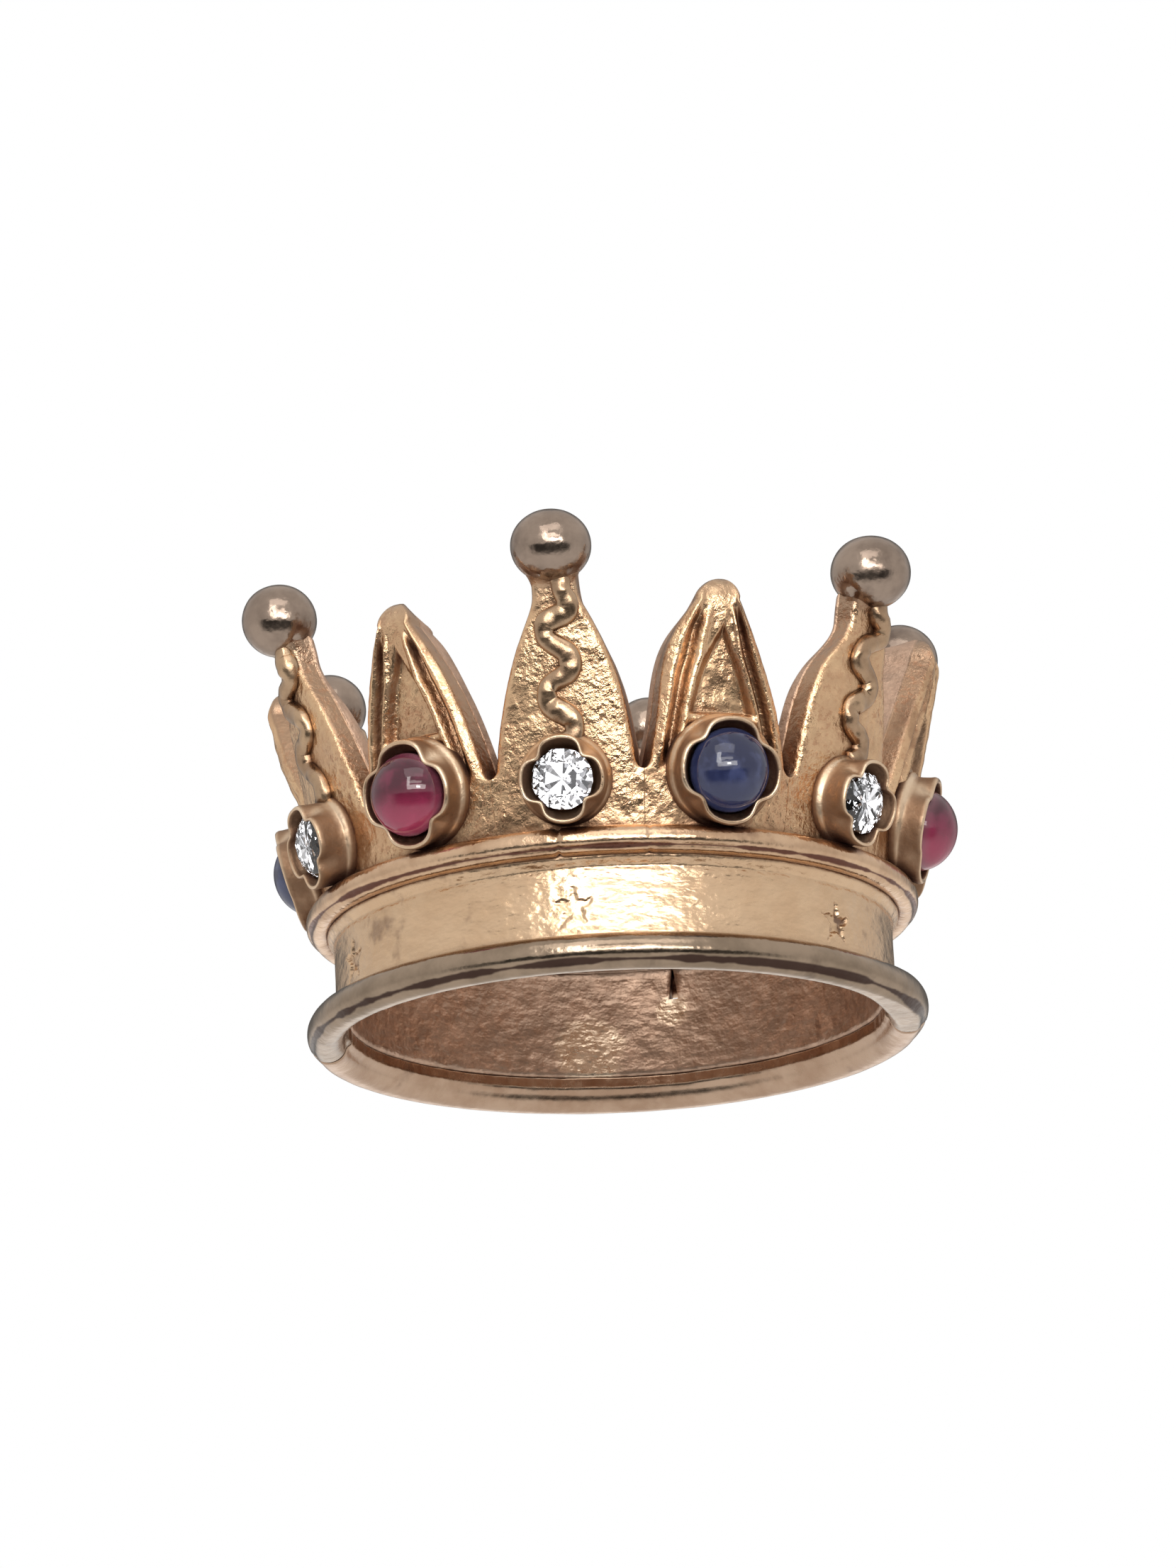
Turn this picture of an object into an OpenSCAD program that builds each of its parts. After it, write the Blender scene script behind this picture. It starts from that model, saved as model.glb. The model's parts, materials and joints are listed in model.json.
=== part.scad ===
// Small jewelled crown: a plain band between two rims carries a cast wall that
// leans outward and rises into twelve points. Six bell-shaped points end in balls
// and hold clear round stones; six lancet points between them hold cabochons.
// Millimetres, +Z up along the crown's axis, origin at the centre of the bottom
// plane, front (a ball point) towards -Y.

/* [Band] */
// Radius of the opening through the band
bore_r = 10; // [9.8:0.05:10.1]
// Outer radius of the band
band_r = 10.6; // [10.5:0.05:10.7]
// Height of the band's top edge, hidden behind the upper rim
band_h = 5.3; // [5.1:0.1:5.4]
// Point-to-centre size of the stars punched into the band
star_r = 0.85; // [0.6:0.05:1]
// Depth of the punched stars
star_depth = 0.15; // [0.1:0.05:0.25]
// Width at the foot of the gap left open in the band's soldered joint
joint_gap = 0.4; // [0.3:0.05:0.5]

/* [Rims] */
// Thickness of the round wire that the band stands on
base_wire = 1.44; // [1.3:0.02:1.5]
// Thickness of the round wire under the wall
collar_wire = 1.1; // [1:0.02:1.14]
// Angle of the left joint in the base wire
left_joint = -89; // [-95:1:-80]
// Angle of the right joint in the base wire
right_joint = 100; // [85:1:105]

/* [Wall and points] */
// Outward lean of the wall from upright
lean = 13.8; // [12:0.1:15]
// Thickness of the wall and its points
wall_t = 1.35; // [1.1:0.05:1.5]
// Height of the bottoms of the notches between the points
notch_z = 7.6; // [7.5:0.05:8]
// Half of a ball point's greatest width
bell_half = 2.77; // [2.6:0.01:2.8]
// Half of the neck that carries the ball
neck_half = 0.84; // [0.7:0.01:0.9]
// Half of a lancet point's greatest width
lancet_half = 2.93; // [2.8:0.01:2.95]
// Height of a lancet's rounded tip
lancet_top = 14.5; // [14:0.05:14.8]

/* [Stones and settings] */
// Radius of a round cabochon
cabochon_r = 1.5; // [1.4:0.01:1.6]
// Outer radius of a cabochon's collet
cabochon_collet_r = 2.15; // [2:0.01:2.2]
// Radius of a clear round stone
clear_r = 1.125; // [1:0.005:1.2]
// Outer radius of a clear stone's collet
clear_collet_r = 1.65; // [1.55:0.01:1.7]
// How far the cabochons' collets stand out of the wall
cabochon_collet_h = 1.1; // [1:0.05:1.2]
// How far the clear stones' collets stand out of the wall
clear_collet_h = 1.3; // [1.2:0.05:1.4]
// Height of the cabochons' centres where they meet the wall
cabochon_z = 7.5; // [7.4:0.02:7.6]
// Height of the clear stones' centres where they meet the wall
clear_z = 7.15; // [7:0.02:7.3]

/* [Balls and scroll wires] */
// Radius of a ball finial
ball_r = 1.48; // [1.35:0.01:1.5]
// Height of the balls' centres
ball_z = 15.65; // [15.5:0.05:15.8]
// Width of the wavy wire on a ball point
scroll_w = 0.62; // [0.5:0.02:0.66]
// How far the wavy wire stands out of the wall
scroll_h = 0.3; // [0.2:0.02:0.4]

/* [Hidden] */
point_pairs = 6;
pair_turn = 360 / point_pairs;
lancet_turn = pair_turn / 2;
spare = 1;
arc_facets = 180;
rim_set_out = 1;
rim_r = bore_r + rim_set_out;
wire_flat = 0.03;
wire_z = base_wire / 2 - wire_flat;
wire_gap = 0.16;
seat_depth = 0.09;
band_foot = wire_z + sqrt(pow(base_wire / 2, 2) - pow(rim_r - band_r, 2)) - seat_depth;
stars_z = 2.6;
star_points = 5;
star_waist = 0.42;
joint_turn = 175;
joint_foot = 4.35;
joint_taper = 0.6;
lean_foot = 5;
collar_drop = 0.05;
collar_z = lean_foot - collar_drop;
collar_set_out = 0.45;
collar_r = band_r + collar_set_out;
inner_step = wall_t / cos(lean);
wall_top = ball_z + spare;
ball_setback = 0.22;
bell_arc = 16.5;
bell_spring = 5.94;
neck_z = 13.7;
lancet_arc = 18;
lancet_spring = 5.1;
lancet_tip_r = 0.75;
stone_seat = 0.35;
dome_foot = 0.55;
dome_h = 1.2;
girdle_t = 0.15;
crown_h = 0.3;
table_share = 0.55;
scroll_half_wave = 1.22;
scroll_swing = 0.47;
scroll_top = 13.95;
scroll_waves = 5;
beyond = 8;
scroll_arc = (pow(scroll_half_wave / 2, 2) + pow(scroll_swing, 2)) / (2 * scroll_swing);
$fn = 96;

GOLD = [0.78, 0.62, 0.46];
COPPER = [0.66, 0.5, 0.38];
BRONZE = [0.56, 0.46, 0.38];

// Odd lancets hold blue stones and even lancets hold red ones
function cabochon_name(i) = str(i % 2 == 1 ? "blue" : "red", "_cabochon_", i);

// Outer radius of the leaning wall at a height
function wall_r(z) = band_r + tan(lean) * (z - lean_foot);

// Turns from the front, seen from above against the clock
function bell_angle(i) = (i - 1) * pair_turn;
function lancet_angle(i) = bell_angle(i) + lancet_turn;

// Puts its children at the wall's surface, with +Z pointing straight out of it
module on_wall(angle, z) {
    rotate([0, 0, angle]) translate([0, -wall_r(z), z]) rotate([90 + lean, 0, 0]) children();
}

// Pushes an upright outline outward through the wall
module through_wall(angle) {
    rotate([0, 0, angle]) translate([0, -bore_r + 2 * spare, 0]) rotate([90, 0, 0])
        linear_extrude(height = beyond) children();
}

// Two arcs meeting in a point, cut level at a height
module arch(half, arc_r, spring_z, cut_z) {
    intersection() {
        translate([half - arc_r, spring_z]) circle(arc_r, $fn = arc_facets);
        translate([arc_r - half, spring_z]) circle(arc_r, $fn = arc_facets);
        translate([-half, lean_foot]) square([2 * half, cut_z - lean_foot]);
    }
}

module bell_outline() {
    arch(bell_half, bell_arc, bell_spring, neck_z);
    translate([-neck_half, neck_z - spare]) square([2 * neck_half, ball_z - neck_z + spare]);
}

module lancet_outline() {
    tip_z = lancet_top - lancet_tip_r;
    arch(lancet_half, lancet_arc, lancet_spring, tip_z);
    translate([0, tip_z]) circle(lancet_tip_r);
}

// Section of the wall: upright inside at the foot, then leaning
module wall_section() {
    knee_z = lean_foot + (bore_r + inner_step - band_r) / tan(lean);
    polygon([
        [bore_r, band_h],
        [wall_r(band_h), band_h],
        [wall_r(wall_top), wall_top],
        [wall_r(wall_top) - inner_step, wall_top],
        [bore_r, knee_z]
    ]);
}

module ball(i) {
    rotate([0, 0, bell_angle(i)]) translate([0, ball_setback - wall_r(ball_z), ball_z])
        sphere(ball_r);
}

module star() {
    half_turn = 180 / star_points;
    rotate(90) polygon([for (k = [0:2 * star_points - 1])
        let (r = star_r * (k % 2 == 0 ? 1 : star_waist), angle = k * half_turn)
        [r * cos(angle), r * sin(angle)]]);
}

// Gap of the band's joint, narrower towards the top
module joint_notch() {
    foot = joint_gap / 2;
    top = foot * joint_taper;
    top_z = band_h + spare;
    rotate([0, 0, joint_turn]) translate([0, -bore_r + spare, 0]) rotate([90, 0, 0])
        linear_extrude(height = 2 * spare)
            polygon([[-foot, joint_foot], [foot, joint_foot], [top, top_z], [-top, top_z]]);
}

module band() {
    color(GOLD) difference() {
        translate([0, 0, band_foot]) cylinder(r = band_r, h = band_h - band_foot);
        cylinder(r = bore_r, h = band_h + spare);
        for (i = [1:point_pairs])
            rotate([0, 0, bell_angle(i)]) translate([0, -band_r + star_depth, stars_z])
                rotate([90, 0, 0]) linear_extrude(height = spare) star();
        joint_notch();
    }
}

// Round wire under the band, from one angle to another: worn flat where it stands, and
// notched along its inner shoulder where the band sits on it
module base_wire_arc(from, to) {
    gap = wire_gap / rim_r * 180 / PI;
    rotate([0, 0, from + gap / 2 - 90]) rotate_extrude(angle = to - from - gap)
        difference() {
            translate([rim_r, wire_z]) circle(base_wire / 2);
            translate([rim_r - base_wire, -base_wire]) square([2 * base_wire, base_wire]);
            translate([bore_r, band_foot]) square([band_r - bore_r, base_wire]);
        }
}

module base_rim_front() {
    color(BRONZE) base_wire_arc(left_joint, right_joint);
}

module base_rim_rear() {
    color(BRONZE) base_wire_arc(right_joint, left_joint + 360);
}

module collar_rim() {
    color(GOLD) rotate_extrude() difference() {
        translate([collar_r, collar_z]) circle(collar_wire / 2);
        translate([bore_r, lean_foot - collar_wire]) square([band_r - bore_r, 2 * collar_wire]);
        wall_section();
    }
}

module crown_wall() {
    color(GOLD) difference() {
        intersection() {
            rotate_extrude() wall_section();
            union() {
                cylinder(r = wall_r(wall_top), h = notch_z);
                for (i = [1:point_pairs]) {
                    through_wall(bell_angle(i)) bell_outline();
                    through_wall(lancet_angle(i)) lancet_outline();
                }
            }
        }
        for (i = [1:point_pairs]) ball(i);
    }
}

module ball_finial(i) {
    color(BRONZE) ball(i);
}

// Outline of the wavy wire: half waves to the right and left in turn
module scroll_outline() {
    for (k = [0:scroll_waves - 1]) {
        side = k % 2 == 0 ? 1 : -1;
        z = scroll_top - k * scroll_half_wave;
        intersection() {
            translate([side * (scroll_swing - scroll_arc), z]) difference() {
                circle(scroll_arc + scroll_w / 2);
                circle(scroll_arc - scroll_w / 2);
            }
            translate([side > 0 ? 0 : -beyond, z - scroll_half_wave])
                square([beyond, scroll_half_wave * 2]);
        }
    }
}

module scroll_wire(i) {
    color(GOLD) difference() {
        intersection() {
            through_wall(bell_angle(i)) scroll_outline();
            rotate_extrude() polygon([
                [wall_r(lean_foot), lean_foot],
                [wall_r(lean_foot) + scroll_h, lean_foot],
                [wall_r(wall_top) + scroll_h, wall_top],
                [wall_r(wall_top), wall_top]
            ]);
        }
        ball(i);
        on_wall(bell_angle(i), clear_z)
            cylinder(r = clear_collet_r, h = 2 * clear_collet_h, center = true);
    }
}

// Round cup that stands on the wall and holds a stone
module collet(angle, z, outer_r, stone_r, height) {
    difference() {
        on_wall(angle, z) difference() {
            translate([0, 0, -spare]) cylinder(r = outer_r, h = height + spare);
            translate([0, 0, stone_seat]) cylinder(r = stone_r, h = height);
        }
        cylinder(r1 = wall_r(0), r2 = wall_r(wall_top), h = wall_top);
        rotate_extrude() translate([collar_r, collar_z]) circle(collar_wire / 2);
    }
}

module clear_collet(i) {
    color(COPPER) collet(bell_angle(i), clear_z, clear_collet_r, clear_r, clear_collet_h);
}

module cabochon_collet(i) {
    color(COPPER)
        collet(lancet_angle(i), cabochon_z, cabochon_collet_r, cabochon_r, cabochon_collet_h);
}

// Round brilliant: girdle held by the collet, table in front, pavilion behind
module clear_stone(i) {
    girdle = clear_collet_h - stone_seat - 2 * girdle_t;
    table = girdle + girdle_t + crown_h;
    color([0.9, 0.92, 0.95, 0.6]) on_wall(bell_angle(i), clear_z) translate([0, 0, stone_seat])
        rotate_extrude() polygon([
            [0, 0],
            [clear_r, girdle],
            [clear_r, girdle + girdle_t],
            [clear_r * table_share, table],
            [0, table]
        ]);
}

// Polished dome on a short round foot
module cabochon(i) {
    dome_r = (pow(cabochon_r, 2) + pow(dome_h, 2)) / (2 * dome_h);
    color(i % 2 == 1 ? "midnightblue" : "firebrick")
        on_wall(lancet_angle(i), cabochon_z) translate([0, 0, stone_seat])
            rotate_extrude() intersection() {
                union() {
                    square([cabochon_r, dome_foot]);
                    translate([0, dome_foot + dome_h - dome_r]) circle(dome_r);
                }
                square([cabochon_r, dome_foot + dome_h]);
            }
}

band();
base_rim_front();
base_rim_rear();
collar_rim();
crown_wall();
for (i = [1:point_pairs]) {
    ball_finial(i);
    scroll_wire(i);
    clear_collet(i);
    clear_stone(i);
    cabochon_collet(i);
    cabochon(i);
}
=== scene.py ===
"""Small jewelled crown: cast wall with twelve points, set stones, balls and wavy wires.

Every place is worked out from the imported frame; sizes below are millimetres and are
turned into metres only when a mesh is made.
"""

import json
import math
import random

import bmesh
import bpy
import numpy as np
from mathutils import Matrix, Vector, noise


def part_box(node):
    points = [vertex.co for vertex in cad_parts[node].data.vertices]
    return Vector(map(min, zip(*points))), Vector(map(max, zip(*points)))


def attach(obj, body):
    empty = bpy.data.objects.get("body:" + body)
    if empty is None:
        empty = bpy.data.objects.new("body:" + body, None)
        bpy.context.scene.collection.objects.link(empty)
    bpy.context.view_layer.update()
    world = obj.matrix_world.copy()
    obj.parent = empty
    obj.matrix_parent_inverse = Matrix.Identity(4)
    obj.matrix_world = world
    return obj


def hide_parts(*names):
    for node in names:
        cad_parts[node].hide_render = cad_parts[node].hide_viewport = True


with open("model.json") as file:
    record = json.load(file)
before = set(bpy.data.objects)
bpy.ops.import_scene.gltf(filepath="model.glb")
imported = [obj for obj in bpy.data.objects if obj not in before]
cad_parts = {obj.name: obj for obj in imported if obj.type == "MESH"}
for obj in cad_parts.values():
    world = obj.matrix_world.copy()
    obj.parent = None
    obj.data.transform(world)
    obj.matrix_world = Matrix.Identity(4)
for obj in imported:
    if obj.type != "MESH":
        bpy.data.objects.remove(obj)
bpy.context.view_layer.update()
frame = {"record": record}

MM = 0.001


# ---------------- sizes from the frame

def node_box(node):
    """A node's lowest and highest corners, in millimetres."""
    low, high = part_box(node)
    return np.array(low) / MM, np.array(high) / MM


def mount(name):
    return next(m for m in frame["record"]["mounts"] if m["name"] == name)


# Ball points; as many lancets stand between them
POINTS = 6
PAIR_TURN = 2 * math.pi / POINTS
BORE_R = mount("band_bore")["dims"]["r_mm"]
BAND_LOW, BAND_HIGH = node_box("band")
BAND_R, BAND_FOOT, BAND_H = BAND_HIGH[0], BAND_LOW[2], BAND_HIGH[2]
# Flat on the base wires' undersides, where they stand on the floor
WIRE_FLAT = 0.03
BASE_WIRE = node_box("base_rim_front")[1][2] + WIRE_FLAT
BASE_R = node_box("base_rim_front")[1][0] - BASE_WIRE / 2
COLLAR_LOW, COLLAR_HIGH = node_box("collar_rim")
COLLAR_WIRE = COLLAR_HIGH[2] - COLLAR_LOW[2]
COLLAR_R = COLLAR_HIGH[0] - COLLAR_WIRE / 2
COLLAR_Z = (COLLAR_LOW[2] + COLLAR_HIGH[2]) / 2
BALL_LOW, BALL_HIGH = node_box("ball_finial_1")
BALL_Z = (BALL_HIGH[2] + BALL_LOW[2]) / 2
BALL_OUT = -(BALL_HIGH[1] + BALL_LOW[1]) / 2
CLEAR_R = (node_box("clear_stone_1")[1][0] - node_box("clear_stone_1")[0][0]) / 2
CLEAR_COLLET_R = node_box("clear_collet_1")[1][0]
CABOCHON_R = (node_box("red_cabochon_2")[1][1] - node_box("red_cabochon_2")[0][1]) / 2
# The cabochons' collets are drawn a little slimmer than their CAD drums
COLLET_SLIMMER = 0.95
CABOCHON_COLLET_R = node_box("cabochon_collet_2")[1][1] * COLLET_SLIMMER

# The wall's own shape: it leans out, and LEAN_FOOT is where it would be as wide as the band
LEAN = math.radians(13.8)
LEAN_FOOT = 5.0
WALL_T = 1.35
NOTCH_Z = 7.6
BELL = {"half": 2.77, "arc": 16.5, "spring": 5.94}
LANCET = {"half": 2.93, "arc": 18.0, "spring": 5.1}
NECK_HALF = 0.84
NECK_TOP = 14.9
LANCET_TOP = 14.5
LANCET_TIP_R = 0.75
LEDGE_Z = 9.62

# Settings and stones
CABOCHON_COLLET_H = 1.1
CLEAR_COLLET_H = 1.3
CABOCHON_Z = 7.5
CLEAR_Z = 7.15
STONE_SEAT = 0.35
DOME_H = 1.2
DOME_FOOT = 0.9
GIRDLE_H = 1.0
CABOCHON_FULL = 1.05

# Wavy wires: heights at which they swing furthest right and left in turn
SCROLL_START = 14.7
SCROLL_END = 8.6
SCROLL_BENDS = [13.45, 12.72, 11.42, 10.4, 9.1, 8.1]
SCROLL_SWING = 0.46
SCROLL_W = 0.8
SCROLL_H = {1: 0.34, 2: 0.44, 6: 0.46}
SCROLL_H_OTHERS = 0.4


def wall_radius(z):
    """Outer radius of the leaning wall at a height."""
    return BAND_R + math.tan(LEAN) * (z - LEAN_FOOT)


def point_turn(kind, i):
    """How far a point is turned from the front, seen from above against the clock."""
    return (i - 1) * PAIR_TURN + (PAIR_TURN / 2 if kind == "lancet" else 0.0)


# How each point strays from the ideal at the height of its ball: out from the axis, up and
# across; how far its neck strays across and its waist out by themselves; its twist in
# degrees; how much fuller its left and right edges are, and at what height; and how
# square and thick its tip was left behind.
STRAYS = {
    ("bell", 1): {"across": 0.07, "up": 0.15, "neck": 0.05, "fuller": (0.0, 0.2)},
    ("bell", 2): {"across": -0.1, "up": 0.0, "neck": 0.28, "fuller": (0.38, 0.0)},
    ("bell", 3): {"out": -0.6, "up": 0.05},
    ("bell", 5): {"out": 0.3, "across": 0.1, "up": 0.2},
    ("bell", 6): {"across": -0.04, "up": 0.04, "neck": -0.12, "fuller": (0.0, -0.05)},
    ("lancet", 1): {"across": -0.24, "up": 0.04, "twist": -10, "fuller": (0.6, -0.15),
                    "fuller_z": 12.2},
    ("lancet", 2): {"out": 0.02, "up": 0.08, "square": 1.0},
    ("lancet", 5): {"waist": -0.25},
    ("lancet", 6): {"across": 0.1, "up": 0.1, "twist": 6, "fuller": (-0.02, 0.14)},
}
STRAY_FOOT = 8.2
# Heights of a bent neck, a bent waist and a fuller edge, and how far up and down each reaches
NECK_BEND = (13.2, 0.8)
WAIST_BEND = (9.6, 1.1)
FULLER_Z, FULLER_REACH = 11.3, 2.2
# How far a setting is raised up the wall, and a stone sunk deeper in its collet
RAISED = {("bell", 1): 0.17, ("lancet", 1): 0.08, ("lancet", 6): 0.12}
SUNK = {("lancet", 5): 0.4}


# ---------------- small numeric helpers

def smooth(low, high, value):
    """0 below low, 1 above high, smooth between."""
    t = np.clip((np.asarray(value, float) - low) / (high - low), 0, 1)
    return t * t * (3 - 2 * t)


def bump(centre, width, value):
    return np.exp(-(((np.asarray(value, float) - centre) / width) ** 2))


def grain(points, size, seed=0.0):
    """Smooth noise from -1 to 1 at each point, with features of about the given size."""
    shift = Vector((seed * 7.3, seed * 3.1, -seed * 5.7))
    return np.array([noise.noise(Vector(p) / size + shift) for p in points])


def radial(turn, radius, z):
    """Points on circles round the crown's axis; turn 0 is the front."""
    turn, radius, z = np.broadcast_arrays(turn, radius, z)
    return np.stack([radius * np.sin(turn), -radius * np.cos(turn), z], axis=-1)


def on_wall(turn, x, z, out):
    """Points beside the centre line of a point: x across, z up, out proud of the wall."""
    radius = wall_radius(z)
    angle = turn + np.arcsin(np.clip(x / radius, -1, 1))
    return radial(angle, radius + out * math.cos(LEAN), z - out * math.sin(LEAN))

def round_over(edge, reach):
    """1 at an edge, falling to 0 at reach from it along a quarter circle."""
    return 1 - np.sqrt(1 - (1 - np.clip(edge / reach, 0, 1)) ** 2)


def full_turn(count):
    """Evenly spaced angles all the way round."""
    return np.linspace(0, 2 * math.pi, count, endpoint=False)


def axes(turn):
    """Unit vectors at a turn: level outward, across, up the wall and square out of it."""
    outward = np.array([math.sin(turn), -math.cos(turn), 0.0])
    across = np.array([math.cos(turn), math.sin(turn), 0.0])
    up = outward * math.sin(LEAN) + np.array([0, 0, math.cos(LEAN)])
    out = outward * math.cos(LEAN) - np.array([0, 0, math.sin(LEAN)])
    return outward, across, up, out


def stray(kind, i, points):
    """Moves a point's metal and what it carries as its hand-bent original strays."""
    habit = STRAYS.get((kind, i))
    if not habit:
        return points
    outward, across = axes(point_turn(kind, i))[:2]
    z = points[..., 2:3]
    share = np.clip((z - STRAY_FOOT) / (BALL_Z - STRAY_FOOT), 0, None)
    bend = share ** 1.4
    out = habit.get("out", 0.0)
    moved = points + bend * (out * outward + habit.get("across", 0.0) * across)
    # a point bent outward sinks, and one bent inward rises
    sink = max(out, 0) * 0.3 + min(out, 0) * 0.15 - habit.get("up", 0.0)
    moved = moved - bend * np.array([0, 0, sink])
    moved = moved + habit.get("neck", 0.0) * bump(*NECK_BEND, z) * across
    moved = moved + habit.get("waist", 0.0) * bump(*WAIST_BEND, z) * outward
    twist = np.radians(habit.get("twist", 0.0)) * np.clip(share, 0, 1)
    arm = (moved - outward * wall_radius(z)) * np.array([1, 1, 0])
    x, y = arm[..., :1], arm[..., 1:2]
    turned = np.concatenate([x * np.cos(twist) - y * np.sin(twist),
                             x * np.sin(twist) + y * np.cos(twist), arm[..., 2:3]], axis=-1)
    return moved + turned - arm


class Seat:
    """Where a setting stands on its point: across it, up the wall, and square out of it."""

    def __init__(self, kind, i, z):
        outward, self.across, self.up, self.out = axes(point_turn(kind, i))
        self.origin = outward * wall_radius(z) + np.array([0, 0, z])
        self.origin = self.origin + self.up * RAISED.get((kind, i), 0.0)

    def place(self, local):
        local = np.asarray(local, float)
        return (self.origin + local[..., 0:1] * self.across + local[..., 1:2] * self.up
                + local[..., 2:3] * self.out)


# ---------------- mesh helpers

def grid_faces(rows, cols, wrap_cols=False, wrap_rows=False, start=0):
    """Quads over a grid of points stored row by row."""
    faces = []
    for r in range(rows if wrap_rows else rows - 1):
        below, above = r * cols, ((r + 1) % rows) * cols
        for c in range(cols if wrap_cols else cols - 1):
            d = (c + 1) % cols
            faces.append((start + below + c, start + below + d, start + above + d, start + above + c))
    return faces


class Solid:
    """Collects points and faces, in millimetres."""

    def __init__(self):
        self.points, self.faces, self.count = [], [], 0

    def add(self, points):
        points = np.asarray(points, float).reshape(-1, 3)
        self.points.append(points)
        self.count += len(points)
        return self.count - len(points)

    def grid(self, points, **wraps):
        start = self.add(points)
        self.faces += grid_faces(*points.shape[:2], start=start, **wraps)
        return start

    def tube(self, rings):
        """A skin round rings of points, with a face over each end."""
        start, sides = self.grid(rings, wrap_cols=True), rings.shape[1]
        for first in (start, start + (len(rings) - 1) * sides):
            self.faces.append(tuple(range(first, first + sides)))

    def make(self, name, material, node, flat=False, weld=0.002):
        """Makes the mesh object, welds it, and hands it to the frame."""
        mesh = bpy.data.meshes.new(name)
        mesh.from_pydata((np.concatenate(self.points) * MM).tolist(), [], self.faces)
        bm = bmesh.new()
        bm.from_mesh(mesh)
        bmesh.ops.remove_doubles(bm, verts=bm.verts, dist=weld * MM)
        bmesh.ops.dissolve_degenerate(bm, edges=bm.edges, dist=weld * MM * 0.5)
        bmesh.ops.recalc_face_normals(bm, faces=bm.faces)
        for face in bm.faces:
            face.smooth = not flat
        bm.to_mesh(mesh)
        bm.free()
        mesh.materials.append(material)
        piece = bpy.data.objects.new(name, mesh)
        bpy.context.scene.collection.objects.link(piece)
        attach(piece, "root")
        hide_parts(node)


def make_tube(rings, name, material, node):
    """A piece that is one capped tube."""
    solid = Solid()
    solid.tube(rings)
    solid.make(name, material, node)


# ---------------- materials

class Nodes:
    """Short ways to build a node tree."""

    def __init__(self, tree):
        self.tree = tree

    def feed(self, socket, value):
        """Gives a socket a number, a colour or another node's output."""
        if isinstance(value, bpy.types.NodeSocket):
            self.tree.links.new(value, socket)
        else:
            socket.default_value = value

    def new(self, kind, feeds=None, **settings):
        """Makes a node with its settings, and feeds its inputs by name or number."""
        node = self.tree.nodes.new(kind)
        for key, value in settings.items():
            setattr(node, key, value)
        for key, value in (feeds or {}).items():
            self.feed(node.inputs[key], value)
        return node

    def span(self, value, low, high, to_low=0.0, to_high=1.0):
        """to_low below low and to_high above high, smooth between."""
        feeds = {"Value": value, "From Min": low, "From Max": high,
                 "To Min": to_low, "To Max": to_high}
        node = self.new("ShaderNodeMapRange", feeds, interpolation_type="SMOOTHSTEP")
        return node.outputs["Result"]

    def maths(self, operation, first, second=0.0):
        return self.new("ShaderNodeMath", {0: first, 1: second}, operation=operation).outputs[0]

    def times(self, first, second):
        return self.maths("MULTIPLY", first, second)

    def vectors(self, operation, first, second=(0.0, 0.0, 0.0)):
        """Vector maths; gives a number where the operation makes one."""
        node = self.new("ShaderNodeVectorMath", {0: first, 1: second}, operation=operation)
        return node.outputs["Value" if operation in ("DOT_PRODUCT", "DISTANCE") else "Vector"]

    def mix(self, share, first, second):
        """Mixes two colours by a share; each may be a colour or another node's output."""
        node = self.new("ShaderNodeMix", {"Factor": share}, data_type="RGBA")
        for key, value in (("A", first), ("B", second)):
            socket = next(s for s in node.inputs if s.name == key and s.type == "RGBA")
            self.feed(socket, (*value, 1.0) if isinstance(value, tuple) else value)
        return next(s for s in node.outputs if s.type == "RGBA")


class Paint(Nodes):
    """A material's nodes; lengths are given in millimetres."""

    def __init__(self, name):
        self.material = bpy.data.materials.new(name)
        self.material.use_nodes = True
        super().__init__(self.material.node_tree)
        self.shader = self.tree.nodes["Principled BSDF"]
        self.place = self.new("ShaderNodeTexCoord").outputs["Object"]

    def shade(self, looks):
        """Feeds the shader, and gives the material."""
        for key, value in looks.items():
            self.feed(self.shader.inputs[key], value)
        return self.material

    def noise(self, size, detail=3.0, roughness=0.5, stretch=None):
        """Noise whose features are about the given size."""
        place = self.place
        if stretch:
            place = self.new("ShaderNodeMapping", {"Scale": stretch, "Vector": place}).outputs[0]
        feeds = {"Scale": 1 / (size * MM), "Detail": detail, "Roughness": roughness,
                 "Vector": place}
        return self.new("ShaderNodeTexNoise", feeds).outputs["Fac"]

    def hollow(self, reach, shut, open_):
        """1 in corners and gaps up to reach wide, 0 on open surfaces."""
        node = self.new("ShaderNodeAmbientOcclusion", {"Distance": reach * MM}, samples=5)
        return self.span(node.outputs["AO"], shut, open_, 1.0, 0.0)

    def bump(self, height, distance, under=None):
        feeds = {"Strength": 1.0, "Distance": distance * MM, "Height": height}
        if under:
            feeds["Normal"] = under
        return self.new("ShaderNodeBump", feeds).outputs["Normal"]


def ring_place(n):
    """Distance from the crown's axis and height, in metres."""
    x, y, z = n.new("ShaderNodeSeparateXYZ", {"Vector": n.place}).outputs
    return n.maths("SQRT", n.maths("ADD", n.times(x, x), n.times(y, y))), z


def proud_of_wall(n):
    """How far out from the leaning wall's outer face, in metres."""
    radius, z = ring_place(n)
    leaning = n.maths("SUBTRACT", radius, n.times(z, math.tan(LEAN)))
    return n.maths("SUBTRACT", leaning, (BAND_R - math.tan(LEAN) * LEAN_FOOT) * MM)


def inside_share(n):
    """1 on the crown's inner surfaces, 0 outside; and the distance from the axis."""
    radius = ring_place(n)[0]
    bore = n.span(radius, (BORE_R + 0.15) * MM, (BORE_R + 0.3) * MM, 1.0, 0.0)
    above = n.span(proud_of_wall(n), -0.95 * MM, -0.8 * MM, 1.0, 0.0)
    return n.maths("MAXIMUM", bore, above), radius


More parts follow.
